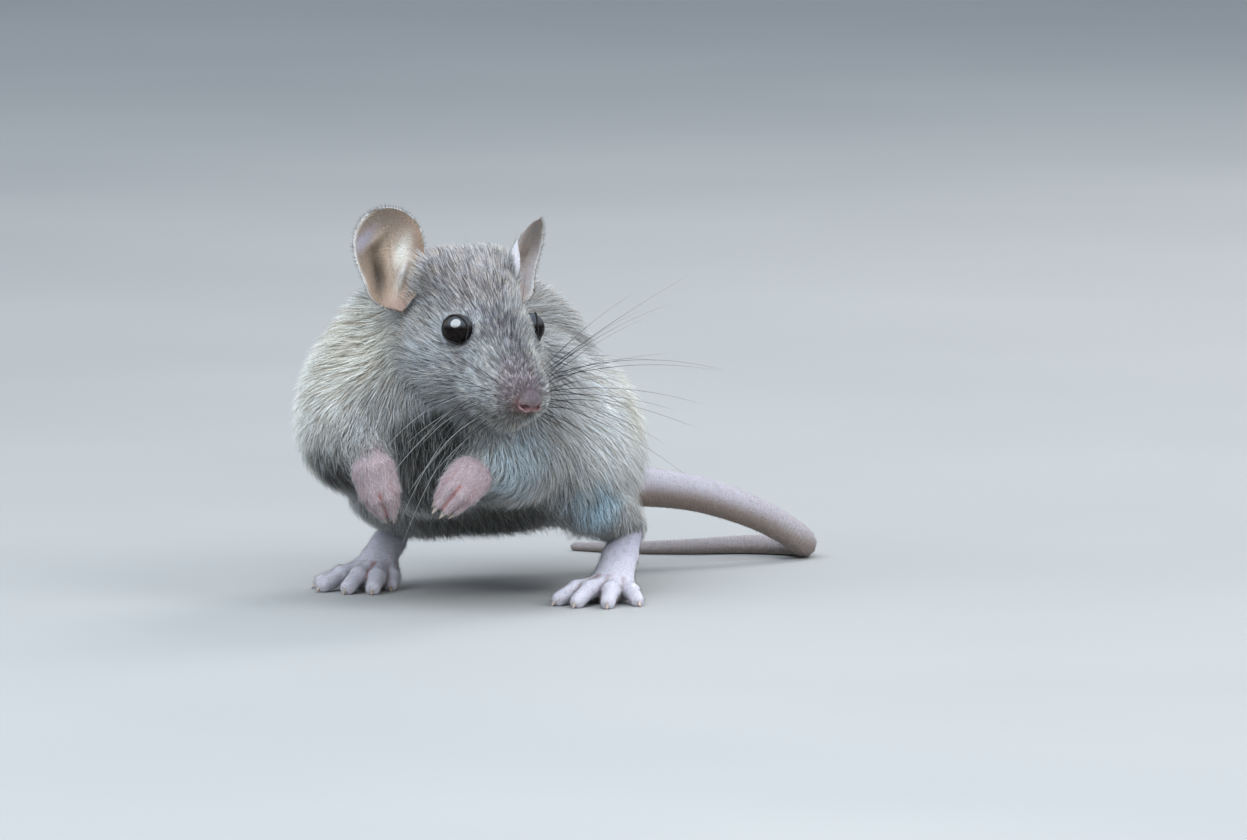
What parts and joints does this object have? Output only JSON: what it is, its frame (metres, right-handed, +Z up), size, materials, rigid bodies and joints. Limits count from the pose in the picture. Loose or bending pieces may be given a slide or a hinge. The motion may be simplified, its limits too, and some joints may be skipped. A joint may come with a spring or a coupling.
{
  "type": "young brown rat",
  "caption": "Young brown rat risen on its hind feet, forepaws held under its chest, with large round ears, dark eyes and a bare tail curved round on the ground.",
  "frame": {"origin": "middle of the footprint, at floor level", "axes": "+Z up; the chest and face are towards -Y; +X is the animal's left side, where the tail swings out"},
  "size_m": [0.0838, 0.0984, 0.065],
  "materials": {
    "coat": "short dense grey-brown fur with pale flecks",
    "pale_coat": "soft grey fur with whitish tips",
    "ear_skin": "thin taupe skin with very short down",
    "foot_skin": "bare pink skin with sparse white hairs and small horn claws",
    "tail_skin": "finely ringed scaly skin, lilac-pink above and browner below",
    "nose_skin": "moist pink skin",
    "eye": "glossy black"
  },
  "bodies": {
    "root": {"head": "coat", "neck": "coat", "trunk": "coat", "thigh_left": "coat", "thigh_right": "coat", "lower_jaw": "pale_coat", "upper_arm_left": "pale_coat", "upper_arm_right": "pale_coat", "forearm_left": "pale_coat", "forearm_right": "pale_coat", "shank_left": "pale_coat", "shank_right": "pale_coat", "ear_left": "ear_skin", "ear_right": "ear_skin", "forepaw_left": "foot_skin", "forepaw_right": "foot_skin", "hind_foot_left": "foot_skin", "hind_foot_right": "foot_skin", "tail_1": "tail_skin", "tail_2": "tail_skin", "tail_3": "tail_skin", "tail_4": "tail_skin", "tail_5": "tail_skin", "nose": "nose_skin", "eye_left": "eye", "eye_right": "eye"}
  },
  "joints": []
}
